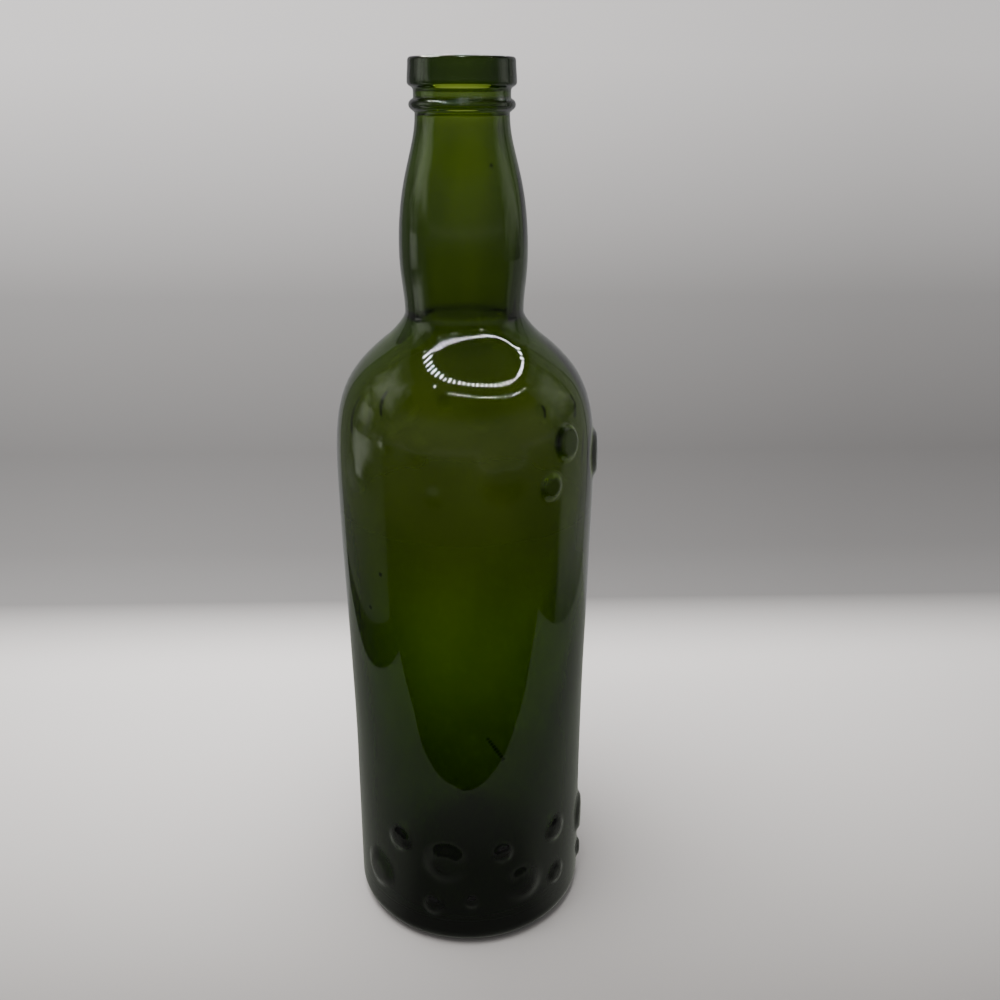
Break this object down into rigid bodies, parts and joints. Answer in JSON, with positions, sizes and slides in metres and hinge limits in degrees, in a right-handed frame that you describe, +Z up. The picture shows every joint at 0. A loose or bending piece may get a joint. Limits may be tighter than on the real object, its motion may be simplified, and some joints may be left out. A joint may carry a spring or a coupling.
{
  "type": "wine bottle",
  "caption": "Empty green glass wine bottle with a round shoulder, swollen neck, banded mouth and bands of raised round bosses on shoulder and foot.",
  "frame": {"origin": "centre of the base on the plane the bottle stands on", "axes": "+Z up along the bottle's axis to the mouth; -Y towards the side that the picture shows"},
  "size_m": [0.0824, 0.0826, 0.28],
  "materials": {
    "green_glass": "smooth clear olive-green bottle glass with slight ripples and a few seeds"
  },
  "bodies": {
    "root": {"bottle": "green_glass"}
  },
  "joints": []
}
